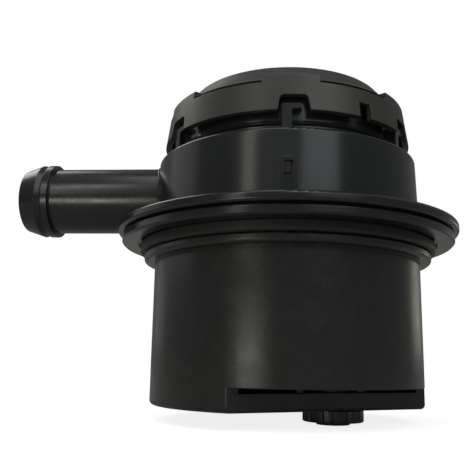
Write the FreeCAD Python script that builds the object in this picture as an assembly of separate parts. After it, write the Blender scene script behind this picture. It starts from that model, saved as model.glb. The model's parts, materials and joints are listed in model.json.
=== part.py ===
import FreeCAD, Part
import math
import os

# A plug-in crankcase ventilation filter, in millimetres.
# The canister drops into a round bore in an engine cover and the flange seats on the cover.
# Gas enters at the slots in the canister's base, passes the pleated element from outside to
# inside, rises through the riser past the regulator and leaves by the hose nozzle.
# Frame: origin on the canister's axis at the seat face under the flange, +Z up, nozzle along -X.
# An azimuth is in degrees from the front (-Y) towards +X.

V = FreeCAD.Vector
CENTRE = V(0, 0, 0)
UP = V(0, 0, 1)

# Clearances
WELD_GAP = 0.05
SEAT_GAP = 0.1
SLIP_GAP = 0.3
CUT_OVER = 1.0

# Canister
BODY_R = 40.0
BODY_WALL = 2.2
BODY_DEPTH = 46.6
BODY_FLOOR = 2.4
BASE_ROUND = 1.4
COLLAR_R = 43.2
COLLAR_DROP = 2.9
COLLAR_HEIGHT = 2.5
COLLAR_ROUND = 1.0

# Recess and gas inlet slots in the canister's base
RECESS_AZIMUTH = 31.0
RECESS_FROM_AXIS = 24.9
RECESS_HEIGHT = 6.1
RECESS_EDGE_ROUND = 0.9
SLOT_HEIGHT = 1.4
SLOT_GROOVE = 1.2
SLOT_END = 3.0
SLOT_WINDOWS = 3
SLOT_RIB = 2.0
PEG_RING_R = 24.0
PEG_R = 2.5
PEG_TURNS = (110.0, 180.0, 250.0)

# Flange and drum of the upper housing
FLANGE_R = 51.3
FLANGE_HEIGHT = 5.5
RIM_HEIGHT = 2.5
TIER_R = 50.0
TIER_DROP = 0.7
RIM_GROOVE = 1.2
SEAT_CHAMFER = 0.5
SEAT_IN_R = 45.2
SEAL_GROOVE = 0.8
PLUG_R = 40.4
DRUM_TOP_R = 39.6
DRUM_DRAFT = 0.6
DRUM_TOP = 25.4
DRUM_WALL = 2.4
DRUM_ROUND = 0.8
LOCATE_DEPTH = 7.1
LOCATE_WALL = 3.0
PARTITION_TOP = 0.9
PARTITION = 2.4

# Neck, bayonet hooks and alignment key
NECK_R = 34.5
NECK_WALL = 2.2
NECK_TOP = 36.0
NECK_BEAD = 0.7
NECK_BEAD_Z = 28.3
HOOK_COUNT = 6
HOOK_AZIMUTH = 2.9
HOOK_TOP = 32.9
HOOK_R = 36.8
HOOK_LEFT = -3.2
HOOK_WIDTH = 2.6
HOOK_ARM = 2.7
HOOK_ARM_THICK = 1.4
KEY_AZIMUTH = 0.9
KEY_WIDTH = 4.8
KEY_RIB = 1.2
KEY_TOP = 17.0
KEY_PROUD = 1.0
KEY_PAD = 3.2

# Riser with the regulator's seat
RISER_R = 11.0
RISER_BORE_R = 9.0
SHELF_Z = 27.9
SHELF_R = 15.6
SHELF_THICK = 1.2
ELEMENT_SPIGOT_R = 12.0
ELEMENT_SPIGOT_LENGTH = 7.5

# Hose nozzle
NOZZLE_Z = 15.75
NOZZLE_R = 10.3
NOZZLE_BORE_R = 7.4
NOZZLE_REACH = 82.8
NOZZLE_TIP_R = 9.7
NOZZLE_LIP_R = 8.4
NOZZLE_LIP = 1.8
BEAD_R = 11.6
BEAD_BACK = 73.2
BEAD_LENGTH = 2.0
BEAD_GROOVE_R = 10.8
BEAD_GROOVE = 1.2
NOSE_BEAD_R = 11.55
NOSE_BEAD_X = 77.3

# Valve cover
SKIRT_BOTTOM = 30.8
SKIRT_FOOT_R = 38.05
SKIRT_TOP = 39.2
SKIRT_TOP_R = 36.9
SKIRT_WALL = 1.9
SLIT_HEIGHT = 0.75
SLIT_DEPTH = 1.5
SLIT_END = 1.2
CROWN_INSET = 0.4
CROWN_KNEE = 42.0
CROWN_KNEE_R = 33.7
CROWN_TOP = 47.0
CROWN_TOP_R = 29.5
CROWN_WALL = 2.0
CROWN_ROUND = 1.6
TAB_TOP = 41.8
TAB_ANGLE = 23.4
TAB_ROUND = 0.6
NOTCH_HEIGHT = 4.4
NOTCH_FOOT = 8.8
NOTCH_TOP = 7.2
NOTCH_ROUND = 1.2
NOTCH_AZIMUTH = 3.4
POCKET_FROM = 31.9
POCKET_TO = 37.9
POCKET_HEIGHT = 4.3
VENT_R = 0.8

# Diaphragm, its plate and the regulator spring
DIAPHRAGM_RIM = 1.2
DIAPHRAGM_SKIN = 0.8
DIAPHRAGM_RISE = 4.95
DIAPHRAGM_TOP_R = 26.0
DIAPHRAGM_ROLL_R = 31.4
PLATE_R = 24.0
PLATE_THICK = 1.0
PAD_R = 11.4
PAD_DROP = 0.7
REGULATOR_TRAVEL = 3.0
REGULATOR_COIL_R = 13.0
REGULATOR_WIRE_R = 0.6
REGULATOR_TURNS = 4

# Filter element
ELEMENT_SPACE = 1.2
ELEMENT_CAP = 2.6
ELEMENT_TOP = -5.4
ELEMENT_HUB = 2.8
ELEMENT_HUB_WALL = 2.4
PLEATS = 40
PLEAT_INSET = 1.9
PLEAT_ROOT_R = 19.4
PLEAT_SKIN = 1.3
TUBE_R = 17.2
TUBE_WALL = 1.2
TUBE_ROWS = 3
TUBE_COLUMNS = 8
TUBE_WINDOW_WIDTH = 5.0
TUBE_WINDOW_HEIGHT = 5.6

# Seals
RING_SEAL_R = 44.5
ELEMENT_RING_R = 0.95
ELEMENT_RING_Z = -4.6
HOUSING_RING_R = 0.9
HOUSING_RING_Z = -7.0

# Relief valve on the partition
RELIEF_RING_R = 24.0
RELIEF_HOLE_R = 4.0
RELIEF_DISC_R = 5.5
RELIEF_DISC = 1.3
RELIEF_STEM_R = 1.2
RELIEF_STEM_PROUD = 0.5
RELIEF_TRAVEL = 2.5
RELIEF_CAGE_R = 7.6
RELIEF_CAGE_WALL = 1.2
RELIEF_LEGS = 3
RELIEF_LEG_ANGLE = 40.0
RELIEF_COIL_R = 3.0
RELIEF_WIRE_R = 0.35
RELIEF_TURNS = 3

# Drain valve in the canister's floor
DRAIN_X = 13.2
DRAIN_Y = -11.0
DRAIN_HOLE_R = 5.2
DRAIN_KNOB_R = 8.4
DRAIN_KNOB = 3.2
DRAIN_STEP_R = 4.6
DRAIN_STEP = 0.8
DRAIN_FLUTES = 14
DRAIN_FLUTE_R = 0.9
DRAIN_STEM_ABOVE = 2.2
DRAIN_BARB = 0.5
DRAIN_BARB_HEIGHT = 0.9
DRAIN_BORE_R = 2.6
DRAIN_BALL_R = 2.2
DRAIN_BALL_TRAVEL = 2.3
DRAIN_OUTLET_R = 1.3
DRAIN_OUTLET_SLOT = 0.9
DRAIN_SEAT = 1.2
DRAIN_SEAT_BORE_R = 1.6
DRAIN_WASHER_R = 7.0
DRAIN_WASHER = 0.7

# Levels and radii that several pieces share
base_z = -BODY_DEPTH
floor_top = base_z + BODY_FLOOR
bore_r = BODY_R - BODY_WALL
collar_top = -COLLAR_DROP
collar_bottom = collar_top - COLLAR_HEIGHT
recess_top = base_z + RECESS_HEIGHT
locate_r = bore_r - SEAT_GAP
housing_ring_r = bore_r - WELD_GAP - HOUSING_RING_R
partition_bottom = PARTITION_TOP - PARTITION
drum_foot_r = DRUM_TOP_R + DRUM_DRAFT
drum_bore_r = DRUM_TOP_R - DRUM_WALL
neck_bore_r = NECK_R - NECK_WALL
rim_top = NECK_TOP + WELD_GAP + DIAPHRAGM_RIM
clamp_z = rim_top + WELD_GAP
diaphragm_top = NECK_TOP + WELD_GAP + DIAPHRAGM_RISE
plate_top = diaphragm_top - DIAPHRAGM_SKIN - WELD_GAP
plate_bottom = plate_top - PLATE_THICK
pad_bottom = plate_bottom - PAD_DROP
valve_seat_z = pad_bottom - REGULATOR_TRAVEL - WELD_GAP
element_r = locate_r - LOCATE_WALL - ELEMENT_SPACE
pleat_tip_r = element_r - PLEAT_INSET
element_bottom = recess_top + BODY_WALL + SLIP_GAP
media_bottom = element_bottom + ELEMENT_CAP + WELD_GAP
media_top = ELEMENT_TOP - ELEMENT_CAP - WELD_GAP
relief_disc_z = PARTITION_TOP + WELD_GAP
relief_disc_top = relief_disc_z + RELIEF_DISC
relief_coil_shut = 2 * RELIEF_WIRE_R * (RELIEF_TURNS + 1)
relief_cage_low = relief_disc_top + RELIEF_TRAVEL + relief_coil_shut + SLIP_GAP
relief_cage_top = relief_cage_low + RELIEF_CAGE_WALL
relief_stem_top = relief_cage_top + RELIEF_STEM_PROUD
knob_top = base_z - SEAT_GAP


def corner(before, point, after, radius):
    """Start, middle and end of the arc that rounds one corner of a flat outline."""
    to_before = (before - point).normalize()
    to_after = (after - point).normalize()
    half = to_before.getAngle(to_after) / 2
    reach = radius / math.tan(half)
    bisector = (to_before + to_after).normalize()
    middle = point + bisector * (radius / math.sin(half) - radius)
    return point + to_before * reach, middle, point + to_after * reach


def outline(points, place):
    """Closed wire through points, each (a, b) or (a, b, corner radius), put in space by place."""
    spots = [place(point[0], point[1]) for point in points]
    edges = []
    ends = []
    for index, point in enumerate(points):
        if len(point) == 2:
            ends.append((spots[index], spots[index]))
            continue
        after = spots[(index + 1) % len(spots)]
        start, middle, end = corner(spots[index - 1], spots[index], after, point[2])
        edges.append(Part.Arc(start, middle, end).toShape())
        ends.append((start, end))
    for index, (_, leave) in enumerate(ends):
        arrive = ends[(index + 1) % len(ends)][0]
        edges.append(Part.LineSegment(leave, arrive).toShape())
    return Part.Wire(Part.__sortEdges__(edges))


def turned(points, angle=360.0, azimuth=90.0):
    """Solid of revolution about Z from an outline of (radius, height) points."""
    face = Part.Face(outline(points, lambda radius, height: V(radius, 0, height)))
    solid = face.revolve(CENTRE, UP, angle)
    return at_azimuth(solid, azimuth - 90.0)


def at_azimuth(shape, azimuth):
    """Copy of a shape turned about Z."""
    copy = shape.copy()
    copy.rotate(CENTRE, UP, azimuth)
    return copy


def front_prism(points, inner, outer):
    """Prism at the front from an outline of (sideways, height) points, between two distances."""
    face = Part.Face(outline(points, lambda side, height: V(side, -outer, height)))
    return face.extrude(V(0, outer - inner, 0))


def front_box(half_width, inner, outer, bottom, top):
    """Box at the front, between two distances from the axis and two heights."""
    return Part.makeBox(2 * half_width, outer - inner, top - bottom, V(-half_width, -outer, bottom))


def tube(outer, inner, bottom, top):
    """Plain ring about Z."""
    return rod(outer, bottom, top).cut(rod(inner, bottom - CUT_OVER, top + CUT_OVER))


def rod(radius, bottom, top):
    """Plain cylinder about Z."""
    return Part.makeCylinder(radius, top - bottom, V(0, 0, bottom), UP)


def coil(radius, wire, bottom, top, turns):
    """Compression spring about Z between two heights."""
    height = top - bottom - 2 * wire
    path = Part.makeHelix(height / turns, height, radius)
    start = V(radius, 0, 0)
    section = Part.Wire(Part.Circle(start, V(0, 1, 0), wire).toShape())
    spring = Part.Wire(path).makePipeShell([section], True, True)
    spring.translate(V(0, 0, bottom + wire))
    return spring


def recess_block(distance, bottom, top):
    """Space beyond a flat that stands upright at a distance from the axis."""
    far = BODY_R + CUT_OVER
    return at_azimuth(front_box(far, distance, far, bottom, top), RECESS_AZIMUTH)


def rounded_recess_ends(solid):
    """Round the two upright edges where the recess leaves the body's round wall."""
    upright = []
    for edge in solid.Edges:
        first, last = edge.firstVertex().Point, edge.lastVertex().Point
        level = math.hypot(first.x - last.x, first.y - last.y) < WELD_GAP
        on_wall = abs(math.hypot(first.x, first.y) - BODY_R) < WELD_GAP
        if level and on_wall and max(first.z, last.z) < recess_top + WELD_GAP:
            upright.append(edge)
    return solid.makeFillet(RECESS_EDGE_ROUND, upright)


def inlet_slots():
    """Groove under the recess's roof and the windows that open it to the inside."""
    half = math.sqrt(BODY_R ** 2 - RECESS_FROM_AXIS ** 2) - SLOT_END
    outer = RECESS_FROM_AXIS + CUT_OVER
    bottom = recess_top - SLOT_HEIGHT
    slots = front_box(half, RECESS_FROM_AXIS - SLOT_GROOVE, outer, bottom, recess_top)
    width = (2 * half - (SLOT_WINDOWS - 1) * SLOT_RIB) / SLOT_WINDOWS
    for index in range(SLOT_WINDOWS):
        window = front_box(width / 2, RECESS_FROM_AXIS - BODY_WALL - CUT_OVER, outer, bottom, recess_top)
        window.translate(V((index - (SLOT_WINDOWS - 1) / 2) * (width + SLOT_RIB), 0, 0))
        slots = slots.fuse(window)
    return at_azimuth(slots, RECESS_AZIMUTH)


def canister():
    """Lower cup with its collar, the recess in its base, the inlet slots and the drain hole."""
    outer = turned([
        (0, base_z), (BODY_R, base_z, BASE_ROUND), (BODY_R, collar_bottom),
        (COLLAR_R, collar_bottom, COLLAR_ROUND), (COLLAR_R, collar_top, COLLAR_ROUND / 2),
        (0, collar_top)])
    outer = rounded_recess_ends(outer.cut(recess_block(RECESS_FROM_AXIS, base_z - CUT_OVER, recess_top)))
    cavity = rod(bore_r, floor_top, CUT_OVER)
    kept = recess_block(RECESS_FROM_AXIS - BODY_WALL, base_z, recess_top + BODY_WALL)
    cup = outer.cut(cavity.cut(kept)).cut(inlet_slots())
    for turn in PEG_TURNS:
        peg = Part.makeCylinder(
            PEG_R, element_bottom - WELD_GAP - floor_top + PEG_R / 2,
            V(0, -PEG_RING_R, floor_top - PEG_R / 2), UP)
        cup = cup.fuse(at_azimuth(peg, RECESS_AZIMUTH + turn))
    hole = rod(DRAIN_HOLE_R, base_z - CUT_OVER, floor_top + CUT_OVER)
    hole.translate(V(DRAIN_X, DRAIN_Y, 0))
    return cup.cut(hole).removeSplitter()


def hook():
    """One bayonet hook: an upright rib with an arm to the right at its top."""
    foot = DRUM_TOP - CUT_OVER
    right = HOOK_LEFT + HOOK_WIDTH
    under = HOOK_TOP - HOOK_ARM_THICK
    points = [
        (HOOK_LEFT, foot), (right, foot), (right, under, HOOK_ARM_THICK / 2),
        (right + HOOK_ARM, under), (right + HOOK_ARM, HOOK_TOP, HOOK_ARM_THICK / 2),
        (HOOK_LEFT, HOOK_TOP, HOOK_ARM_THICK / 2)]
    return front_prism(points, NECK_R - NECK_WALL / 2, HOOK_R)


def key():
    """Arched alignment rib on the drum's front, an upside-down U with a low pad at its top."""
    foot = FLANGE_HEIGHT - CUT_OVER
    half = KEY_WIDTH / 2
    inner = half - KEY_RIB
    arch = front_prism(
        [(-half, foot), (half, foot), (half, KEY_TOP, KEY_RIB), (-half, KEY_TOP, KEY_RIB)],
        drum_bore_r + DRUM_WALL / 2, drum_foot_r + KEY_PROUD)
    pad_top = KEY_TOP - KEY_RIB
    hollow = front_box(inner, drum_foot_r, drum_foot_r + 2 * KEY_PROUD, foot, pad_top)
    pad = front_box(
        inner - KEY_RIB / 4, drum_bore_r + DRUM_WALL / 2, drum_foot_r + KEY_PROUD / 2,
        pad_top - KEY_PAD, pad_top)
    pad.translate(V(-KEY_RIB / 4, 0, 0))
    return at_azimuth(arch.cut(hollow).fuse(pad), KEY_AZIMUTH)


def riser():
    """Upright tube with the regulator's seat, the spring shelf and the element's spigot."""
    flare = SHELF_Z - SHELF_THICK - (SHELF_R - RISER_R)
    spigot_bottom = partition_bottom - ELEMENT_SPIGOT_LENGTH
    return turned([
        (RISER_BORE_R, spigot_bottom), (ELEMENT_SPIGOT_R, spigot_bottom),
        (ELEMENT_SPIGOT_R, partition_bottom), (RISER_R, PARTITION_TOP), (RISER_R, flare),
        (SHELF_R, SHELF_Z - SHELF_THICK), (SHELF_R, SHELF_Z), (RISER_R, SHELF_Z),
        (RISER_R, valve_seat_z), (RISER_BORE_R, valve_seat_z)])


def upper_housing():
    """Flange, drum, neck with hooks, partition and riser, moulded as one piece."""
    rim_bottom = FLANGE_HEIGHT - RIM_HEIGHT
    tier_top = rim_bottom - TIER_DROP
    bead_low, bead_high = NECK_BEAD_Z - NECK_BEAD, NECK_BEAD_Z + NECK_BEAD
    body = turned([
        (0, collar_top - LOCATE_DEPTH), (locate_r, collar_top - LOCATE_DEPTH, DRUM_ROUND),
        (locate_r, collar_top + WELD_GAP), (PLUG_R, collar_top + WELD_GAP),
        (PLUG_R, SEAL_GROOVE), (SEAT_IN_R, SEAL_GROOVE), (SEAT_IN_R, 0),
        (TIER_R - SEAT_CHAMFER, 0), (TIER_R, SEAT_CHAMFER), (TIER_R, tier_top, TIER_DROP / 2),
        (TIER_R - RIM_GROOVE, (tier_top + rim_bottom) / 2),
        (FLANGE_R, rim_bottom, DRUM_ROUND), (FLANGE_R, FLANGE_HEIGHT, DRUM_ROUND),
        (drum_foot_r, FLANGE_HEIGHT, DRUM_ROUND), (DRUM_TOP_R, DRUM_TOP, DRUM_ROUND),
        (NECK_R, DRUM_TOP), (NECK_R, bead_low), (NECK_R + NECK_BEAD, NECK_BEAD_Z),
        (NECK_R, bead_high), (NECK_R, NECK_TOP), (0, NECK_TOP)])
    body = body.cut(rod(locate_r - LOCATE_WALL, collar_top - LOCATE_DEPTH - CUT_OVER, partition_bottom))
    body = body.cut(rod(drum_bore_r, PARTITION_TOP, DRUM_TOP - DRUM_WALL))
    body = body.cut(rod(neck_bore_r, DRUM_TOP - DRUM_WALL - CUT_OVER, NECK_TOP + CUT_OVER))
    half_ring = HOUSING_RING_R + SEAT_GAP
    body = body.cut(tube(
        locate_r + CUT_OVER, housing_ring_r - half_ring,
        HOUSING_RING_Z - half_ring, HOUSING_RING_Z + half_ring))
    body = body.fuse(riser()).cut(rod(RISER_BORE_R, collar_top - DRUM_TOP, CUT_OVER + PARTITION_TOP))
    relief = rod(RELIEF_HOLE_R, partition_bottom - CUT_OVER, PARTITION_TOP + CUT_OVER)
    relief.translate(V(0, RELIEF_RING_R, 0))
    port = Part.makeCylinder(
        NOZZLE_LIP_R + SEAT_GAP, 2 * DRUM_WALL + CUT_OVER,
        V(-drum_foot_r - CUT_OVER, 0, NOZZLE_Z), V(1, 0, 0))
    body = body.cut(relief).cut(port).fuse(key())
    for index in range(HOOK_COUNT):
        body = body.fuse(at_azimuth(hook(), NOTCH_AZIMUTH + index * 360.0 / HOOK_COUNT))
    return body.removeSplitter()


def hose_nozzle():
    """Beaded hose spigot with a saddle end, welded to the drum's side."""
    bead_front = BEAD_BACK + BEAD_LENGTH
    groove_front = bead_front + BEAD_GROOVE
    root = drum_bore_r - CUT_OVER
    points = [
        (0, root), (NOZZLE_R, root), (NOZZLE_R, BEAD_BACK), (BEAD_R, BEAD_BACK),
        (BEAD_R, bead_front), (BEAD_GROOVE_R, groove_front - BEAD_GROOVE / 2),
        (NOSE_BEAD_R, NOSE_BEAD_X), (NOZZLE_TIP_R, NOZZLE_REACH, BEAD_GROOVE / 2), (0, NOZZLE_REACH)]
    spigot = turned(points)
    spigot = spigot.cut(rod(NOZZLE_BORE_R, 0, NOZZLE_REACH + CUT_OVER))
    lip = tube(NOZZLE_LIP_R, NOZZLE_BORE_R, DRUM_TOP_R - NOZZLE_LIP, drum_foot_r + CUT_OVER)
    for piece in (spigot, lip):
        piece.rotate(CENTRE, V(0, 1, 0), -90)
        piece.translate(V(0, 0, NOZZLE_Z))
    saddle = turned([
        (0, FLANGE_HEIGHT - DRUM_TOP), (FLANGE_R + WELD_GAP, FLANGE_HEIGHT - DRUM_TOP),
        (FLANGE_R + WELD_GAP, FLANGE_HEIGHT + WELD_GAP),
        (drum_foot_r + WELD_GAP, FLANGE_HEIGHT + WELD_GAP, DRUM_ROUND),
        (DRUM_TOP_R + WELD_GAP, DRUM_TOP), (DRUM_TOP_R + WELD_GAP, 2 * DRUM_TOP), (0, 2 * DRUM_TOP)])
    return spigot.cut(saddle).fuse(lip).removeSplitter()


def bore_seal():
    """Moulded ring seal between the flange and the canister's collar."""
    bottom = collar_top + WELD_GAP
    top = SEAL_GROOVE - SLIP_GAP
    inner = PLUG_R + WELD_GAP
    lip = (top - bottom) / 4
    return turned([
        (inner, bottom), (RING_SEAL_R, bottom, lip), (RING_SEAL_R, top, lip), (inner, top)])


def housing_seal():
    """O-ring in the locating spigot's groove."""
    return Part.makeTorus(housing_ring_r, HOUSING_RING_R, V(0, 0, HOUSING_RING_Z))


def skirt_radius(height):
    """Outer radius of the cover's tapered skirt at a height."""
    share = (height - SKIRT_BOTTOM) / (SKIRT_TOP - SKIRT_BOTTOM)
    return SKIRT_FOOT_R + share * (SKIRT_TOP_R - SKIRT_FOOT_R)


def notch():
    """Space of one rounded notch in the foot of the skirt."""
    points = [
        (-NOTCH_FOOT / 2, SKIRT_BOTTOM - CUT_OVER), (NOTCH_FOOT / 2, SKIRT_BOTTOM - CUT_OVER),
        (NOTCH_FOOT / 2, SKIRT_BOTTOM),
        (NOTCH_TOP / 2, SKIRT_BOTTOM + NOTCH_HEIGHT, NOTCH_ROUND),
        (-NOTCH_TOP / 2, SKIRT_BOTTOM + NOTCH_HEIGHT, NOTCH_ROUND),
        (-NOTCH_FOOT / 2, SKIRT_BOTTOM)]
    return front_prism(points, NECK_R, SKIRT_FOOT_R + CUT_OVER)


def valve_cover():
    """Clip-on cover with a tapered skirt, slits, six raised tabs with notches below, and a crown."""
    slit_top = SKIRT_TOP + SLIT_HEIGHT
    crown_foot_r = SKIRT_TOP_R - CROWN_INSET
    inner_foot_r = SKIRT_FOOT_R - SKIRT_WALL
    inner_top_r = skirt_radius(clamp_z) - SKIRT_WALL
    shoulder_r = CROWN_KNEE_R - CROWN_WALL
    cover = turned([
        (0, CROWN_TOP), (CROWN_TOP_R, CROWN_TOP, CROWN_ROUND), (CROWN_KNEE_R, CROWN_KNEE),
        (crown_foot_r, slit_top), (SKIRT_TOP_R, SKIRT_TOP),
        (SKIRT_FOOT_R, SKIRT_BOTTOM), (inner_foot_r, SKIRT_BOTTOM), (inner_top_r, clamp_z),
        (shoulder_r, clamp_z), (CROWN_TOP_R - CROWN_WALL, CROWN_TOP - CROWN_WALL),
        (0, CROWN_TOP - CROWN_WALL)])
    slit_r = SKIRT_TOP_R - SLIT_DEPTH
    slit_angle = 360.0 / HOOK_COUNT - TAB_ANGLE - SLIT_END
    tab_inner = shoulder_r + CROWN_WALL / 2
    for index in range(HOOK_COUNT):
        turn = index * 360.0 / HOOK_COUNT
        slit = turned([
            (slit_r, SKIRT_TOP), (SKIRT_FOOT_R, SKIRT_TOP), (SKIRT_FOOT_R, slit_top), (slit_r, slit_top)],
            slit_angle, HOOK_AZIMUTH + turn + TAB_ANGLE / 2)
        tab = turned([
            (tab_inner, clamp_z + WELD_GAP), (skirt_radius(clamp_z), clamp_z + WELD_GAP),
            (skirt_radius(TAB_TOP), TAB_TOP, TAB_ROUND), (tab_inner - TAB_ROUND, TAB_TOP)],
            TAB_ANGLE, HOOK_AZIMUTH + turn - TAB_ANGLE / 2)
        cover = cover.cut(slit).fuse(tab)
    for index in range(HOOK_COUNT):
        turn = index * 360.0 / HOOK_COUNT
        cover = cover.cut(at_azimuth(notch(), NOTCH_AZIMUTH + turn))
    pocket_top = SKIRT_BOTTOM + POCKET_HEIGHT
    pocket = turned([
        (NECK_R, SKIRT_BOTTOM - CUT_OVER), (SKIRT_FOOT_R + CUT_OVER, SKIRT_BOTTOM - CUT_OVER),
        (SKIRT_FOOT_R + CUT_OVER, pocket_top), (NECK_R, pocket_top)],
        POCKET_TO - POCKET_FROM, POCKET_FROM)
    vent = Part.makeCylinder(VENT_R, CROWN_TOP, V(0, CROWN_TOP_R / 2, SKIRT_TOP), UP)
    return cover.cut(pocket).cut(vent).removeSplitter()


def diaphragm():
    """Rubber top-hat diaphragm, clamped at its rim between the neck and the cover."""
    foot = NECK_TOP + WELD_GAP
    rim_r = skirt_radius(clamp_z) - SKIRT_WALL - SLIP_GAP
    under = diaphragm_top - DIAPHRAGM_SKIN
    return turned([
        (0, under), (DIAPHRAGM_TOP_R - DIAPHRAGM_SKIN / 2, under),
        (DIAPHRAGM_ROLL_R - DIAPHRAGM_SKIN, foot), (rim_r, foot), (rim_r, rim_top),
        (DIAPHRAGM_ROLL_R, rim_top),
        (DIAPHRAGM_TOP_R, diaphragm_top, DIAPHRAGM_SKIN), (0, diaphragm_top)])


def diaphragm_plate():
    """Stiff plate under the diaphragm, with the pad that closes the riser."""
    return turned([
        (0, pad_bottom), (PAD_R, pad_bottom, PAD_DROP / 2), (PAD_R, plate_bottom),
        (PLATE_R, plate_bottom, PLATE_THICK / 3), (PLATE_R, plate_top, PLATE_THICK / 3), (0, plate_top)])


def regulator_spring():
    """Coil between the riser's shelf and the diaphragm plate."""
    return coil(
        REGULATOR_COIL_R, REGULATOR_WIRE_R, SHELF_Z + WELD_GAP, plate_bottom - WELD_GAP, REGULATOR_TURNS)


def zigzag(tip, root):
    """Star-shaped wire of the pleats, at the height of the media's foot."""
    points = []
    for index in range(2 * PLEATS):
        angle = math.pi * index / PLEATS
        radius = tip if index % 2 == 0 else root
        points.append(V(radius * math.cos(angle), radius * math.sin(angle), media_bottom))
    return Part.makePolygon(points + points[:1])


def filter_media():
    """Pleated filter sheet."""
    outer = Part.Face(zigzag(pleat_tip_r, PLEAT_ROOT_R))
    inner = Part.Face(zigzag(pleat_tip_r - PLEAT_SKIN, PLEAT_ROOT_R - PLEAT_SKIN))
    return outer.cut(inner).extrude(V(0, 0, media_top - media_bottom))


def centre_tube():
    """Slotted tube that carries the pleats from inside."""
    body = tube(TUBE_R, TUBE_R - TUBE_WALL, media_bottom, media_top)
    pitch = (media_top - media_bottom) / TUBE_ROWS
    for row in range(TUBE_ROWS):
        middle = media_bottom + (row + 0.5) * pitch
        for column in range(TUBE_COLUMNS):
            window = front_box(
                TUBE_WINDOW_WIDTH / 2, TUBE_R - 2 * TUBE_WALL, TUBE_R + TUBE_WALL,
                middle - TUBE_WINDOW_HEIGHT / 2, middle + TUBE_WINDOW_HEIGHT / 2)
            body = body.cut(at_azimuth(window, column * 360.0 / TUBE_COLUMNS))
    return body


def element_top_cap():
    """Upper end cap with the hub that slips over the riser's spigot."""
    hub_bore = ELEMENT_SPIGOT_R + 2 * ELEMENT_RING_R + 2 * WELD_GAP
    hub_r = hub_bore + ELEMENT_HUB_WALL
    return turned([
        (hub_bore, ELEMENT_TOP - ELEMENT_CAP), (element_r, ELEMENT_TOP - ELEMENT_CAP),
        (element_r, ELEMENT_TOP), (hub_r, ELEMENT_TOP), (hub_r, ELEMENT_TOP + ELEMENT_HUB),
        (hub_bore, ELEMENT_TOP + ELEMENT_HUB)])


def element_bottom_cap():
    """Closed lower end cap."""
    top = element_bottom + ELEMENT_CAP
    return turned([
        (0, element_bottom), (element_r, element_bottom, ELEMENT_CAP / 4), (element_r, top), (0, top)])


def element_seal():
    """O-ring between the riser's spigot and the element's hub."""
    ring_r = ELEMENT_SPIGOT_R + WELD_GAP + ELEMENT_RING_R
    return Part.makeTorus(ring_r, ELEMENT_RING_R, V(0, 0, ELEMENT_RING_Z))


def at_relief(shape):
    """Shape moved from the axis to the relief valve's place."""
    shape.translate(V(0, RELIEF_RING_R, 0))
    return shape


def relief_disc():
    """Relief valve disc with its guide stem."""
    return at_relief(turned([
        (0, relief_disc_z), (RELIEF_DISC_R, relief_disc_z),
        (RELIEF_DISC_R, relief_disc_top, RELIEF_DISC / 3),
        (RELIEF_STEM_R, relief_disc_top), (RELIEF_STEM_R, relief_stem_top, RELIEF_STEM_R / 3),
        (0, relief_stem_top)]))


def relief_cage():
    """Cage over the relief disc, with legs on the partition and a guide hole for the stem."""
    leg_inner = RELIEF_CAGE_R - RELIEF_CAGE_WALL
    leg_top = relief_cage_low + WELD_GAP
    cage = tube(RELIEF_CAGE_R, RELIEF_STEM_R + SLIP_GAP, relief_cage_low, relief_cage_top)
    for index in range(RELIEF_LEGS):
        leg = turned([
            (leg_inner, relief_disc_z), (RELIEF_CAGE_R, relief_disc_z), (RELIEF_CAGE_R, leg_top),
            (leg_inner, leg_top)], RELIEF_LEG_ANGLE, index * 360.0 / RELIEF_LEGS)
        cage = cage.fuse(leg)
    return at_relief(cage.removeSplitter())


def relief_spring():
    """Coil between the relief disc and its cage."""
    return at_relief(coil(
        RELIEF_COIL_R, RELIEF_WIRE_R, relief_disc_top + WELD_GAP, relief_cage_low - WELD_GAP,
        RELIEF_TURNS))


def at_drain(shape):
    """Shape moved from the axis to the drain's place."""
    shape.translate(V(DRAIN_X, DRAIN_Y, 0))
    return shape


def drain_body():
    """Fluted drain knob with a barbed stem, the ball's bore and the oil outlet."""
    knob_bottom = knob_top - DRAIN_KNOB
    stem_r = DRAIN_HOLE_R - SEAT_GAP
    stem_top = floor_top + DRAIN_STEM_ABOVE
    barb_low = floor_top + SEAT_GAP
    washer_floor = base_z - DRAIN_WASHER - WELD_GAP
    body = turned([
        (0, knob_bottom - DRAIN_STEP), (DRAIN_STEP_R, knob_bottom - DRAIN_STEP),
        (DRAIN_STEP_R, knob_bottom), (DRAIN_KNOB_R, knob_bottom, DRAIN_STEP / 2), (DRAIN_KNOB_R, knob_top),
        (DRAIN_WASHER_R + SEAT_GAP, knob_top), (DRAIN_WASHER_R + SEAT_GAP, washer_floor),
        (stem_r, washer_floor), (stem_r, barb_low), (stem_r + DRAIN_BARB, barb_low),
        (stem_r, barb_low + DRAIN_BARB_HEIGHT), (stem_r, stem_top), (0, stem_top)])
    for index in range(DRAIN_FLUTES):
        flute = rod(DRAIN_FLUTE_R, knob_bottom - CUT_OVER / 2, knob_top + CUT_OVER / 2)
        flute.translate(V(0, -DRAIN_KNOB_R - DRAIN_FLUTE_R / 2, 0))
        body = body.cut(at_azimuth(flute, index * 360.0 / DRAIN_FLUTES))
    bore_floor = ball_rest() - DRAIN_BALL_R - SEAT_GAP
    body = body.cut(rod(DRAIN_BORE_R, bore_floor, stem_top + CUT_OVER))
    body = body.cut(rod(DRAIN_OUTLET_R, knob_bottom - 2 * DRAIN_STEP, bore_floor + CUT_OVER))
    slot = front_box(
        DRAIN_OUTLET_SLOT / 2, -DRAIN_BORE_R, DRAIN_BORE_R, bore_floor - DRAIN_OUTLET_SLOT, bore_floor)
    return at_drain(body.cut(slot).cut(at_azimuth(slot, 90.0)))


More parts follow.
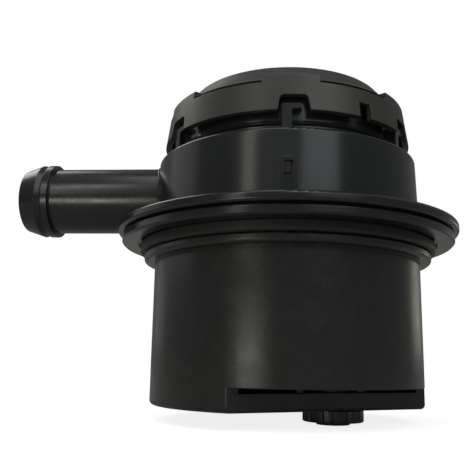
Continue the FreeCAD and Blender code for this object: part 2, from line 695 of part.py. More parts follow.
def ball_rest():
    """Height of the drain ball's middle when it lies open."""
    stem_top = floor_top + DRAIN_STEM_ABOVE
    touch = math.sqrt(DRAIN_BALL_R ** 2 - DRAIN_SEAT_BORE_R ** 2)
    return stem_top - touch - SEAT_GAP - DRAIN_BALL_TRAVEL


def drain_ball():
    """Check ball that lifts against its seat when the engine side has the higher pressure."""
    return at_drain(Part.makeSphere(DRAIN_BALL_R, V(0, 0, ball_rest())))


def drain_seat():
    """Seat ring on the top of the drain's stem."""
    bottom = floor_top + DRAIN_STEM_ABOVE + WELD_GAP
    return at_drain(tube(DRAIN_HOLE_R - SEAT_GAP, DRAIN_SEAT_BORE_R, bottom, bottom + DRAIN_SEAT))


def drain_washer():
    """Flat rubber washer between the knob and the canister's floor."""
    return at_drain(tube(DRAIN_WASHER_R, DRAIN_HOLE_R + SEAT_GAP, base_z - DRAIN_WASHER, base_z))


PIECES = (
    canister, upper_housing, hose_nozzle, bore_seal, housing_seal, valve_cover, diaphragm,
    diaphragm_plate, regulator_spring, filter_media, centre_tube, element_top_cap,
    element_bottom_cap, element_seal, relief_disc, relief_cage, relief_spring, drain_body,
    drain_ball, drain_seat, drain_washer)

os.makedirs("parts", exist_ok=True)
for piece in PIECES:
    shape = piece()
    shape.exportStep("parts/" + piece.__name__ + ".step")
    print(piece.__name__, shape.ShapeType, len(shape.Solids), shape.isValid(), round(shape.Volume, 1))
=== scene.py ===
import json
import logging
import math
from dataclasses import dataclass
from enum import Enum

import bpy
from mathutils import Matrix, Vector


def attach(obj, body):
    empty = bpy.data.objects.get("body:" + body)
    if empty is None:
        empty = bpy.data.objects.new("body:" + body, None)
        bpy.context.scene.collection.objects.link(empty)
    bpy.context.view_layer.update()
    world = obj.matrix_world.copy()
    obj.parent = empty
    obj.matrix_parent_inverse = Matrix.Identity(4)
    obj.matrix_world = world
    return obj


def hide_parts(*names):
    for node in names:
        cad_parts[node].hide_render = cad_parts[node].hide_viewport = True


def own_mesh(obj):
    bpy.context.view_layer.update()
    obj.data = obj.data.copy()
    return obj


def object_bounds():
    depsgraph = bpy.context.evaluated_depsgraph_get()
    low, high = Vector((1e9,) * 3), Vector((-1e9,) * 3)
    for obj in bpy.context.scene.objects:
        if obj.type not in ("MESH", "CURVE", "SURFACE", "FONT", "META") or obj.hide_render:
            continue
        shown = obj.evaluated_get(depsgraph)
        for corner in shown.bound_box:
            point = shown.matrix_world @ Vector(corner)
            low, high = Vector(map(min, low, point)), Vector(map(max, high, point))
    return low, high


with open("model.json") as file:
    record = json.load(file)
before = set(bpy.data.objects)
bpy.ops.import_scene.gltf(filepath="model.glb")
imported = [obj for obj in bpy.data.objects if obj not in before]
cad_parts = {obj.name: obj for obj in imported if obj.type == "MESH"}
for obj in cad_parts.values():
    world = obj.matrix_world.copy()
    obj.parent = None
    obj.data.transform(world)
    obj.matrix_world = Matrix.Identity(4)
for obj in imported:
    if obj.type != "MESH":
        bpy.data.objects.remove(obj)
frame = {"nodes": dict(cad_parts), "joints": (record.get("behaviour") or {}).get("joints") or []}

LOG = logging.getLogger("ventilation_filter")
CAD_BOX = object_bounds()
STILL_BODY = "housing"
MM = 0.001
MERGE_DISTANCE = 0.001 * MM
SMOOTH_ANGLE = math.radians(35)
NOISE_MIDDLE = 0.5

Colour = tuple[float, float, float]
Point = tuple[float, float, float]


class Grain(Enum):
    """Surface of the mould, as grains to the metre."""

    POLISHED = 900.0
    STONED = 2600.0
    SPARKED = 3600.0


class Aim(Enum):
    """What a lamp faces."""

    OBJECT = "object"
    CEILING = "ceiling"


class NodeDesk:
    """Adds and links nodes in one node tree."""

    def __init__(self, tree: bpy.types.NodeTree) -> None:
        """Keep the tree.

        Args:
            tree: The node tree that the nodes go into.
        """
        self.tree = tree

    def add(self, kind: str, **settings: object) -> bpy.types.Node:
        """Add one node.

        Args:
            kind: The node's type name.
            settings: Properties of the node to set.

        Returns:
            The new node.
        """
        node = self.tree.nodes.new(kind)
        for name, value in settings.items():
            setattr(node, name, value)
        return node

    def join(self, source: bpy.types.NodeSocket, target: bpy.types.NodeSocket) -> None:
        """Link an output socket to an input socket."""
        self.tree.links.new(source, target)

    def feed(self, target: bpy.types.NodeSocket, value: object) -> None:
        """Link a socket to an input, or set the input to a plain value.

        Args:
            target: The input socket.
            value: A socket or a plain value.
        """
        if isinstance(value, bpy.types.NodeSocket):
            self.join(value, target)
        else:
            target.default_value = value

    def math(self, operation: str, *values: object, clamp: bool = False) -> bpy.types.NodeSocket:
        """Add a Math node on sockets or plain numbers.

        Args:
            operation: The Math node's operation.
            values: A socket or a number for each input that the operation has.
            clamp: Whether the result is kept from 0 to 1.

        Returns:
            The node's value socket.
        """
        node = self.add("ShaderNodeMath", operation=operation, use_clamp=clamp)
        for socket, value in zip(node.inputs, values):
            self.feed(socket, value)
        return node.outputs[0]

    def mix(
            self, share: bpy.types.NodeSocket, first: bpy.types.NodeSocket,
            second: Colour) -> bpy.types.NodeSocket:
        """Mix a plain colour into another one.

        Args:
            share: Share of the second colour.
            first: Socket of the first colour.
            second: The plain colour.

        Returns:
            The mixed colour's socket.
        """
        node = self.add("ShaderNodeMix", data_type="RGBA")
        factor, (below, above) = node.inputs[0], node.inputs[6:8]
        self.join(share, factor)
        self.join(first, below)
        above.default_value = (*second, 1.0)
        return node.outputs[2]

    def noise(self, scale: object, octaves: float, roughness: float = 0.5) -> bpy.types.NodeSocket:
        """Noise on Object coordinates.

        Args:
            scale: Socket or number, in features to the metre.
            octaves: Octaves of the noise.
            roughness: Weight of the finer octaves.

        Returns:
            The noise's value socket.
        """
        place = self.add("ShaderNodeTexCoord")
        node = self.add("ShaderNodeTexNoise")
        self.join(place.outputs["Object"], node.inputs["Vector"])
        self.feed(node.inputs["Scale"], scale)
        node.inputs["Detail"].default_value = octaves
        node.inputs["Roughness"].default_value = roughness
        return node.outputs[0]

    def bump(self, height: bpy.types.NodeSocket, depth: float) -> bpy.types.Node:
        """Add a Bump node at full strength.

        Args:
            height: Socket of the height, from 0 to 1.
            depth: What a height of 1 measures, in metres.

        Returns:
            The Bump node.
        """
        node = self.add("ShaderNodeBump")
        node.inputs["Strength"].default_value = 1.0
        node.inputs["Distance"].default_value = depth
        self.join(height, node.inputs["Height"])
        return node


class EffectGroup:
    """A shader node group that several finishes share."""

    name = "effect"
    inputs: tuple[tuple[str, str, object], ...] = ()
    outputs: tuple[tuple[str, str], ...] = ()

    def tree(self) -> bpy.types.NodeTree:
        """Find the group, or build it the first time.

        Returns:
            The group's node tree.
        """
        found = bpy.data.node_groups.get(self.name)
        if found is not None:
            return found
        tree = bpy.data.node_groups.new(self.name, "ShaderNodeTree")
        for label, kind, value in self.inputs:
            socket = tree.interface.new_socket(label, in_out="INPUT", socket_type=kind)
            socket.default_value = value
        for label, kind in self.outputs:
            tree.interface.new_socket(label, in_out="OUTPUT", socket_type=kind)
        desk = NodeDesk(tree)
        self.wire(desk, desk.add("NodeGroupInput"), desk.add("NodeGroupOutput"))
        return tree

    def wire(self, desk: NodeDesk, given: bpy.types.Node, result: bpy.types.Node) -> None:
        """Fill the group with its nodes.

        Args:
            desk: The group's node desk.
            given: The group's input node.
            result: The group's output node.
        """
        raise NotImplementedError

    def place(self, desk: NodeDesk, **values: object) -> bpy.types.Node:
        """Put the group into a material.

        Args:
            desk: The material's node desk.
            values: Input values by label, with _ for a space.

        Returns:
            The group node.
        """
        node = desk.add("ShaderNodeGroup", node_tree=self.tree())
        for label, value in values.items():
            node.inputs[label.replace("_", " ")].default_value = value
        return node


class MouldedSkin(EffectGroup):
    """Flow marks, grain and sheen changes of a moulded surface."""

    name = "moulded_skin"
    inputs = (
        ("Tone", "NodeSocketColor", (0.02, 0.02, 0.02, 1.0)),
        ("Grain Scale", "NodeSocketFloat", 2000.0),
        ("Flow Scale", "NodeSocketFloat", 40.0),
        ("Tone Spread", "NodeSocketFloat", 0.2),
        ("Roughness", "NodeSocketFloat", 0.45),
        ("Roughness Spread", "NodeSocketFloat", 0.1),
    )
    outputs = (
        ("Colour", "NodeSocketColor"),
        ("Roughness", "NodeSocketFloat"),
        ("Height", "NodeSocketFloat"),
    )
    flow_octaves = 4.0
    grain_octaves = 2.0
    grain_share = 0.5

    def wire(self, desk: NodeDesk, given: bpy.types.Node, result: bpy.types.Node) -> None:
        """Link slow flow noise to tone and sheen, and fine noise to the height.

        Args:
            desk: The group's node desk.
            given: The group's input node.
            result: The group's output node.
        """
        flow = desk.noise(given.outputs["Flow Scale"], self.flow_octaves)
        grain = desk.noise(given.outputs["Grain Scale"], self.grain_octaves)
        flow_swing = desk.math("SUBTRACT", flow, NOISE_MIDDLE)
        grain_swing = desk.math("SUBTRACT", grain, NOISE_MIDDLE)
        tone = desk.math("MULTIPLY_ADD", flow_swing, given.outputs["Tone Spread"], 1.0)
        scaled = desk.add("ShaderNodeVectorMath", operation="SCALE")
        desk.join(given.outputs["Tone"], scaled.inputs[0])
        desk.join(tone, scaled.inputs["Scale"])
        desk.join(scaled.outputs[0], result.inputs["Colour"])
        swing = desk.math("MULTIPLY_ADD", grain_swing, self.grain_share, flow_swing)
        spread, middle = given.outputs["Roughness Spread"], given.outputs["Roughness"]
        desk.join(desk.math("MULTIPLY_ADD", swing, spread, middle), result.inputs["Roughness"])
        desk.join(grain, result.inputs["Height"])


class EdgeRubAndGlint(EffectGroup):
    """Rounded normals at the edges, and a mask of the edges that take a lighter colour: a painted edge
    highlight, together with polish from handling.
    """

    name = "edge_rub_and_glint"
    inputs = (
        ("Radius", "NodeSocketFloat", 0.0004),
        ("Gain", "NodeSocketFloat", 2.0),
    )
    outputs = (("Mask", "NodeSocketFloat"), ("Rounded", "NodeSocketVector"))
    samples = 6
    patch_scale = 350.0
    patch_octaves = 3.0

    def wire(self, desk: NodeDesk, given: bpy.types.Node, result: bpy.types.Node) -> None:
        """Compare the rounded normal with the surface's own, broken up by noise.

        Args:
            desk: The group's node desk.
            given: The group's input node.
            result: The group's output node.
        """
        rounded = desk.add("ShaderNodeBevel", samples=self.samples)
        desk.join(given.outputs["Radius"], rounded.inputs["Radius"])
        surface = desk.add("ShaderNodeNewGeometry")
        dot = desk.add("ShaderNodeVectorMath", operation="DOT_PRODUCT")
        desk.join(rounded.outputs[0], dot.inputs[0])
        desk.join(surface.outputs["Normal"], dot.inputs[1])
        bend = desk.math("SUBTRACT", 1.0, dot.outputs["Value"])
        gained = desk.math("MULTIPLY", bend, given.outputs["Gain"])
        patches = desk.noise(self.patch_scale, self.patch_octaves)
        # The mask marks bent edges for a lighter colour: a painted edge highlight, together with polish from
        # handling.
        desk.join(desk.math("MULTIPLY", gained, patches, clamp=True), result.inputs["Mask"])
        desk.join(rounded.outputs[0], result.inputs["Rounded"])


class DustFilm(EffectGroup):
    """A mask of fine dust on what faces up, with single specks everywhere."""

    name = "dust_film"
    inputs = (("Amount", "NodeSocketFloat", 0.1),)
    outputs = (("Mask", "NodeSocketFloat"),)
    patch_scale = 220.0
    patch_octaves = 6.0
    patch_roughness = 0.65
    speck_scale = 1500.0
    speck_octaves = 1.0
    speck_level = 0.73
    speck_sharpness = 12.0
    speck_gain = 4.0

    def wire(self, desk: NodeDesk, given: bpy.types.Node, result: bpy.types.Node) -> None:
        """Scale patchy noise by how far the surface faces up, and add the peaks of a finer noise.

        Args:
            desk: The group's node desk.
            given: The group's input node.
            result: The group's output node.
        """
        amount = given.outputs["Amount"]
        surface = desk.add("ShaderNodeNewGeometry")
        parts = desk.add("ShaderNodeSeparateXYZ")
        desk.join(surface.outputs["Normal"], parts.inputs[0])
        facing_up = desk.math("MULTIPLY_ADD", parts.outputs["Z"], 0.5, 0.5)
        settled = desk.math("POWER", facing_up, 2.0)
        patches = desk.noise(self.patch_scale, self.patch_octaves, self.patch_roughness)
        film = desk.math("MULTIPLY", desk.math("MULTIPLY", settled, patches), amount, clamp=True)
        above = desk.math("SUBTRACT", desk.noise(self.speck_scale, self.speck_octaves), self.speck_level)
        peaks = desk.math("MULTIPLY", above, self.speck_sharpness, clamp=True)
        specks = desk.math("MULTIPLY", peaks, desk.math("MULTIPLY", amount, self.speck_gain), clamp=True)
        desk.join(desk.math("MAXIMUM", film, specks), result.inputs["Mask"])


@dataclass(frozen=True)
class Finish:
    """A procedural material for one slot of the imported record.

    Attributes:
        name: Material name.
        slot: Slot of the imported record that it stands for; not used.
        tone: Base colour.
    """

    name: str
    slot: str
    tone: Colour

    def material(self) -> bpy.types.Material:
        """Find the material, or build it the first time.

        Returns:
            The material.
        """
        found = bpy.data.materials.get(self.name)
        if found is not None:
            return found
        material = bpy.data.materials.new(self.name)
        material.use_nodes = True
        self.wire(NodeDesk(material.node_tree), material.node_tree.nodes["Principled BSDF"])
        return material

    def wire(self, desk: NodeDesk, shader: bpy.types.Node) -> None:
        """Link the finish's nodes to the shader.

        Args:
            desk: The material's node desk.
            shader: The material's shader.
        """
        raise NotImplementedError


@dataclass(frozen=True)
class MouldedFinish(Finish):
    """A moulded plastic or rubber surface.

    Attributes:
        rubbed_and_glint: Colour of the lighter edges: a painted edge highlight, together with polish from
            handling.
        roughness: Middle roughness.
        specular: Specular level of the shader.
        grain: Mould surface.
        grain_depth: Height of the grain, in metres.
        flow: Flow marks to the metre.
        spread: How far the flow marks change the tone.
        sheen: How far flow marks and grain change the roughness.
        edge: Radius that edges look rounded to, in metres.
        rub_and_glint: Gain of the lighter edges, painted edge highlight and polish.
        dust: Share of dust.
        dust_tone: Colour of the dust.
    """

    rubbed_and_glint: Colour
    roughness: float
    specular: float = 0.5
    grain: Grain = Grain.STONED
    grain_depth: float = 1e-5
    flow: float = 45.0
    spread: float = 0.35
    sheen: float = 0.06
    edge: float = 0.0003
    rub_and_glint: float = 1.6
    dust: float = 0.05
    dust_tone: Colour = (0.24, 0.235, 0.22)

    def wire(self, desk: NodeDesk, shader: bpy.types.Node) -> None:
        """Link skin, lighter edges (a painted edge highlight with polish) and dust to the shader.

        Args:
            desk: The material's node desk.
            shader: The material's shader.
        """
        shader.inputs["Specular IOR Level"].default_value = self.specular
        skin = MouldedSkin().place(
            desk, Tone=(*self.tone, 1.0), Grain_Scale=self.grain.value, Flow_Scale=self.flow,
            Tone_Spread=self.spread, Roughness=self.roughness, Roughness_Spread=self.sheen)
        rub_and_glint = EdgeRubAndGlint().place(desk, Radius=self.edge, Gain=self.rub_and_glint)
        dust = DustFilm().place(desk, Amount=self.dust)
        # The edges are painted lighter: a painted edge highlight, together with polish from handling.
        polished_and_glinting = desk.mix(rub_and_glint.outputs["Mask"], skin.outputs["Colour"], self.rubbed_and_glint)
        dusty = desk.mix(dust.outputs["Mask"], polished_and_glinting, self.dust_tone)
        desk.join(dusty, shader.inputs["Base Color"])
        desk.join(skin.outputs["Roughness"], shader.inputs["Roughness"])
        bump = desk.bump(skin.outputs["Height"], self.grain_depth)
        desk.join(rub_and_glint.outputs["Rounded"], bump.inputs["Normal"])
        desk.join(bump.outputs[0], shader.inputs["Normal"])


@dataclass(frozen=True)
class SpringWire(Finish):
    """Drawn steel wire with fine die lines.

    Attributes:
        roughness: Middle roughness.
        lines: Die lines to the metre.
        spread: How far the die lines change the tone.
        sheen: How far they change the roughness.
    """

    roughness: float
    lines: float = 600.0
    spread: float = 0.3
    sheen: float = 0.2

    def wire(self, desk: NodeDesk, shader: bpy.types.Node) -> None:
        """Link the wire's skin to a metal shader.

        Args:
            desk: The material's node desk.
            shader: The material's shader.
        """
        shader.inputs["Metallic"].default_value = 1.0
        skin = MouldedSkin().place(
            desk, Tone=(*self.tone, 1.0), Grain_Scale=Grain.SPARKED.value, Flow_Scale=self.lines,
            Tone_Spread=self.spread, Roughness=self.roughness, Roughness_Spread=self.sheen)
        desk.join(skin.outputs["Colour"], shader.inputs["Base Color"])
        desk.join(skin.outputs["Roughness"], shader.inputs["Roughness"])


@dataclass(frozen=True)
class PleatedFleece(Finish):
    """Cream filter fleece with short fibres and an oil tint.

    Attributes:
        oiled: Colour where oil has soaked in.
        soaked: Largest share of that colour.
        stains: Oil stains to the metre.
        stain_octaves: Octaves of the stains.
        fibres: Fibres to the metre.
        fibre_depth: Height of the fibres, in metres.
        fuzz: Sheen weight of the shader.
        flow: Cloudy patches to the metre.
        spread: How far the patches change the tone.
        roughness: Middle roughness.
        sheen: How far patches and fibres change the roughness.
    """

    oiled: Colour
    soaked: float = 0.35
    stains: float = 70.0
    stain_octaves: float = 3.0
    fibres: float = 4200.0
    fibre_depth: float = 5e-5
    fuzz: float = 0.3
    flow: float = 120.0
    spread: float = 0.25
    roughness: float = 0.9
    sheen: float = 0.1

    def wire(self, desk: NodeDesk, shader: bpy.types.Node) -> None:
        """Link fibres and oil stains to the shader.

        Args:
            desk: The material's node desk.
            shader: The material's shader.
        """
        shader.inputs["Sheen Weight"].default_value = self.fuzz
        skin = MouldedSkin().place(
            desk, Tone=(*self.tone, 1.0), Grain_Scale=self.fibres, Flow_Scale=self.flow,
            Tone_Spread=self.spread, Roughness=self.roughness, Roughness_Spread=self.sheen)
        stain = desk.math("MULTIPLY", desk.noise(self.stains, self.stain_octaves), self.soaked)
        stained = desk.mix(stain, skin.outputs["Colour"], self.oiled)
        desk.join(stained, shader.inputs["Base Color"])
        desk.join(skin.outputs["Roughness"], shader.inputs["Roughness"])
        bump = desk.bump(skin.outputs["Height"], self.fibre_depth)
        desk.join(bump.outputs[0], shader.inputs["Normal"])


# Each finish's edge colour is lighter than its tone: a painted edge highlight, together with polish from
# handling.
CANISTER_BLACK = MouldedFinish(
    "sparked_canister", "housing_black", tone=(0.0165, 0.0167, 0.0160), rubbed_and_glint=(0.035, 0.036, 0.033),
    roughness=0.27, grain=Grain.SPARKED, grain_depth=6e-6, flow=240.0, spread=0.5, sheen=0.16)
HOUSING_BLACK = MouldedFinish(
    "stoned_housing", "housing_black", tone=(0.0105, 0.0126, 0.0120), rubbed_and_glint=(0.040, 0.045, 0.043),
    roughness=0.21, grain_depth=1.5e-6)
NOZZLE_BLACK = MouldedFinish(
    "stoned_nozzle", "housing_black", tone=(0.0115, 0.0136, 0.0130), rubbed_and_glint=(0.040, 0.045, 0.043),
    roughness=0.24, grain_depth=2e-6, flow=260.0, spread=0.5, sheen=0.14)
COVER_BLACK = MouldedFinish(
    "sparked_cover", "cover_black", tone=(0.0360, 0.0360, 0.0315), rubbed_and_glint=(0.070, 0.070, 0.062),
    roughness=0.42, specular=0.45, grain=Grain.SPARKED, grain_depth=6e-6, flow=180.0, spread=0.4, sheen=0.10)
DRAIN_BLACK = MouldedFinish(
    "polished_drain", "drain_black", tone=(0.0085, 0.0080, 0.0090), rubbed_and_glint=(0.050, 0.050, 0.052),
    roughness=0.20, specular=0.55, grain=Grain.POLISHED, grain_depth=2e-6)
SEAL_RUBBER = MouldedFinish(
    "moulded_seal", "seal_rubber", tone=(0.0190, 0.0178, 0.0190), rubbed_and_glint=(0.040, 0.039, 0.040),
    roughness=0.50, specular=0.40, grain_depth=8e-6)
DIAPHRAGM_RUBBER = MouldedFinish(
    "moulded_diaphragm", "diaphragm_rubber", tone=(0.045, 0.045, 0.050), rubbed_and_glint=(0.08, 0.08, 0.085),
    roughness=0.65, specular=0.35, grain_depth=8e-6)
INNER_PLASTIC = MouldedFinish(
    "moulded_inner", "inner_plastic", tone=(0.045, 0.045, 0.047), rubbed_and_glint=(0.08, 0.08, 0.082),
    roughness=0.45)
ELEMENT_PLASTIC = MouldedFinish(
    "moulded_element", "element_plastic", tone=(0.06, 0.06, 0.06), rubbed_and_glint=(0.1, 0.1, 0.1),
    roughness=0.5)
BALL_PLASTIC = MouldedFinish(
    "polished_ball", "ball_plastic", tone=(0.72, 0.72, 0.70), rubbed_and_glint=(0.75, 0.75, 0.73),
    roughness=0.25, grain=Grain.POLISHED, grain_depth=1e-6)
SPRING_STEEL = SpringWire("drawn_spring", "spring_steel", tone=(0.58, 0.58, 0.60), roughness=0.32)
FILTER_FLEECE = PleatedFleece(
    "pleated_fleece", "filter_fleece", tone=(0.78, 0.74, 0.64), oiled=(0.45, 0.36, 0.20))


class Bench:
    """Hand-modelling steps that the sub-assemblies share."""

    @staticmethod
    def clear() -> None:
        """Leave nothing selected."""
        if bpy.context.object is not None and bpy.context.object.mode != "OBJECT":
            bpy.ops.object.mode_set(mode="OBJECT")
        bpy.ops.object.select_all(action="DESELECT")

    @staticmethod
    def apply_modifiers(piece: bpy.types.Object) -> None:
        """Apply every modifier of a piece, in order."""
        for modifier in list(piece.modifiers):
            bpy.ops.object.modifier_apply(modifier=modifier.name)

    @staticmethod
    def done(piece: bpy.types.Object, name: str, finish: Finish) -> None:
        """Set a finished piece at the origin, dress it and let it ride on the housing.

        Args:
            piece: The modelled object.
            name: Its piece name.
            finish: Its finish.
        """
        bpy.ops.object.transform_apply(location=True, rotation=True, scale=True)
        piece.name = name
        piece.data.name = name
        piece.data.materials.clear()
        piece.data.materials.append(finish.material())
        bpy.ops.object.shade_smooth_by_angle(angle=SMOOTH_ANGLE)
        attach(piece, STILL_BODY)
        LOG.info("piece %s rides on %s", name, STILL_BODY)


@dataclass(frozen=True)
class Follower:
    """A closed copy of a springy solid; the real piece shortens while its joint moves.

    Attributes:
        node: Solid that it stands for.
        joint: Joint that shortens it; not used.
        still_z: Height of its still end, in metres; not used.
        travel: How far its other end moves, in metres; not used.
    """

    node: str
    joint: str
    still_z: float
    travel: float

    def build(self, finish: Finish) -> None:
        """Copy the solid, close its mesh, dress the copy and hide the solid.

        Args:
            finish: Finish of the piece.
        """
        Bench.clear()
        piece = bpy.data.objects.new(self.node, frame["nodes"][self.node].data.copy())
        bpy.context.scene.collection.objects.link(piece)
        piece.select_set(True)
        bpy.context.view_layer.objects.active = piece
        bpy.ops.mesh.customdata_custom_splitnormals_clear()
        bpy.ops.object.mode_set(mode="EDIT")
        bpy.ops.mesh.select_all(action="SELECT")
        bpy.ops.mesh.remove_doubles(threshold=MERGE_DISTANCE)
        bpy.ops.object.mode_set(mode="OBJECT")
        Bench.done(piece, f"{self.node}_follower", finish)
        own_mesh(piece)
        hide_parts(self.node)


def springy_solids() -> dict[str, Follower]:
    """Read from the frame which solids shorten with a joint.

    Returns:
        A follower for each such solid, by the solid's name.
    """
    found = {}
    for joint in frame["joints"]:
        lowest, highest = joint["range_m"]
        for row in joint.get("deforming_nodes", ()):
            found[row["node"]] = Follower(
                row["node"], joint["name"], row["fixed_end_z_m"], highest - lowest)
    return found


FOLLOWERS = springy_solids()


class SubAssembly:
    """Nodes that belong together, each with its finish."""

    finishes: dict[str, Finish] = {}

    def build(self) -> None:
        """Model the pieces that change their length."""
        for node, finish in self.finishes.items():
            if node in FOLLOWERS:
                FOLLOWERS[node].build(finish)

    def dress(self) -> None:
        """Give each solid of the sub-assembly its finish."""
        for node, finish in self.finishes.items():
            solid = frame["nodes"][node]
            solid.data.materials.clear()
            solid.data.materials.append(finish.material())
            LOG.info("solid %s wears %s", node, finish.name)


@dataclass
class Canister(SubAssembly):
    """Lower cup with its seals."""

    finishes = {"canister": CANISTER_BLACK, "bore_seal": SEAL_RUBBER, "housing_seal": SEAL_RUBBER}


@dataclass
class UpperHousing(SubAssembly):
    """Flange, drum and neck, with the welded hose nozzle.

    Attributes:
        seam_r: Radius of the nozzle at its root, in millimetres.
        seam_z: Height of the nozzle's axis.
        drum_r: Radius of the drum at that height.
        flash_r: Radius of the bead that the weld pressed out.
        unevenness: How far that bead wanders.
        evenness_share: How evenly it wanders, from 0 to 1.
        seed: Start of its random wander.
        round_steps: Steps around the nozzle.
        bead_steps: Steps around the bead.
        smoothing: Share of a smoothing pass.
        smooth_passes: Smoothing passes over the wander.
    """

    finishes = {"upper_housing": HOUSING_BLACK, "hose_nozzle": NOZZLE_BLACK}
    seam_r: float = 10.3
    seam_z: float = 15.75
    drum_r: float = 39.9
    flash_r: float = 0.42
    unevenness: float = 0.07
    evenness_share: float = 0.6
    seed: int = 7
    round_steps: int = 120
    bead_steps: int = 10
    smoothing: float = 0.5
    smooth_passes: int = 2

    def build(self) -> None:
        """Model the weld flash, a thin ring bent to the drum's curve."""
        Bench.clear()
        bpy.ops.mesh.primitive_torus_add(
            major_segments=self.round_steps, minor_segments=self.bead_steps,
            major_radius=self.seam_r * MM, minor_radius=self.flash_r * MM,
            rotation=(math.radians(90), 0.0, 0.0))
        ring = bpy.context.object
        bpy.ops.object.transform_apply(location=False, rotation=True, scale=False)
        bpy.ops.object.mode_set(mode="EDIT")
        bpy.ops.mesh.select_all(action="SELECT")
        bpy.ops.transform.vertex_random(
            offset=self.unevenness * MM, uniform=self.evenness_share, seed=self.seed)
        bpy.ops.mesh.vertices_smooth(factor=self.smoothing, repeat=self.smooth_passes)
        bpy.ops.object.mode_set(mode="OBJECT")
        bend = ring.modifiers.new("drum_curve", "SIMPLE_DEFORM")
        bend.deform_method = "BEND"
        bend.deform_axis = "Z"
        bend.angle = ring.dimensions.x / (self.drum_r * MM)
        Bench.apply_modifiers(ring)
        ring.rotation_euler = (0.0, 0.0, math.radians(-90))
        ring.location = (-self.drum_r * MM, 0.0, self.seam_z * MM)
        Bench.done(ring, "nozzle_weld_flash", HOUSING_BLACK)


@dataclass
class ValveCover(SubAssembly):
    """Clip-on cover."""

    finishes = {"valve_cover": COVER_BLACK}


@dataclass
class Regulator(SubAssembly):
    """Diaphragm, its plate and the spring."""

    finishes = {
        "regulator_spring": SPRING_STEEL, "diaphragm": DIAPHRAGM_RUBBER, "diaphragm_plate": INNER_PLASTIC}


@dataclass
class FilterElement(SubAssembly):
    """Pleated element with its tube, caps and seal."""

    finishes = {
        "filter_media": FILTER_FLEECE, "centre_tube": ELEMENT_PLASTIC, "element_top_cap": ELEMENT_PLASTIC,
        "element_bottom_cap": ELEMENT_PLASTIC, "element_seal": SEAL_RUBBER}


@dataclass
class ReliefValve(SubAssembly):
    """Relief disc, cage and spring."""

    finishes = {"relief_disc": INNER_PLASTIC, "relief_cage": INNER_PLASTIC, "relief_spring": SPRING_STEEL}


@dataclass
class DrainValve(SubAssembly):
    """Drain knob with its check ball, seat and washer."""

    finishes = {
        "drain_body": DRAIN_BLACK, "drain_ball": BALL_PLASTIC, "drain_seat": INNER_PLASTIC,
        "drain_washer": SEAL_RUBBER}


@dataclass(frozen=True)
class Softbox:
    """One studio lamp.

    Attributes:
        name: Lamp name.
        azimuth: Degrees from the front towards +X.
        elevation: Degrees above the horizon.
        distance: Metres from the object's middle.
        width: Width in metres.
        height: Height in metres.
        power: Watts.
        tint: Colour of the light.
        aim: What it faces.
    """

    name: str
    azimuth: float
    elevation: float
    distance: float
    width: float
    height: float
    power: float
    tint: Colour = (1.0, 1.0, 1.0)
    aim: Aim = Aim.OBJECT

    def hang(self, middle: Vector) -> None:
        """Hang the lamp, or lay it down facing the ceiling.

        Args:
            middle: The point that its place is measured from.
        """
        lamp = bpy.data.lights.new(self.name, "AREA")
        lamp.shape = "RECTANGLE"
        lamp.size = self.width
        lamp.size_y = self.height
        lamp.energy = self.power
        lamp.color = self.tint
        holder = bpy.data.objects.new(self.name, lamp)
        turn, lift = math.radians(self.azimuth), math.radians(self.elevation)
        away = Vector((
            math.sin(turn) * math.cos(lift), -math.cos(turn) * math.cos(lift), math.sin(lift)))
        holder.location = middle + self.distance * away
        holder.rotation_euler = away.to_track_quat("Z", "Y").to_euler()
        if self.aim is Aim.CEILING:
            holder.rotation_euler = (math.pi, 0.0, turn)
        bpy.context.scene.collection.objects.link(holder)


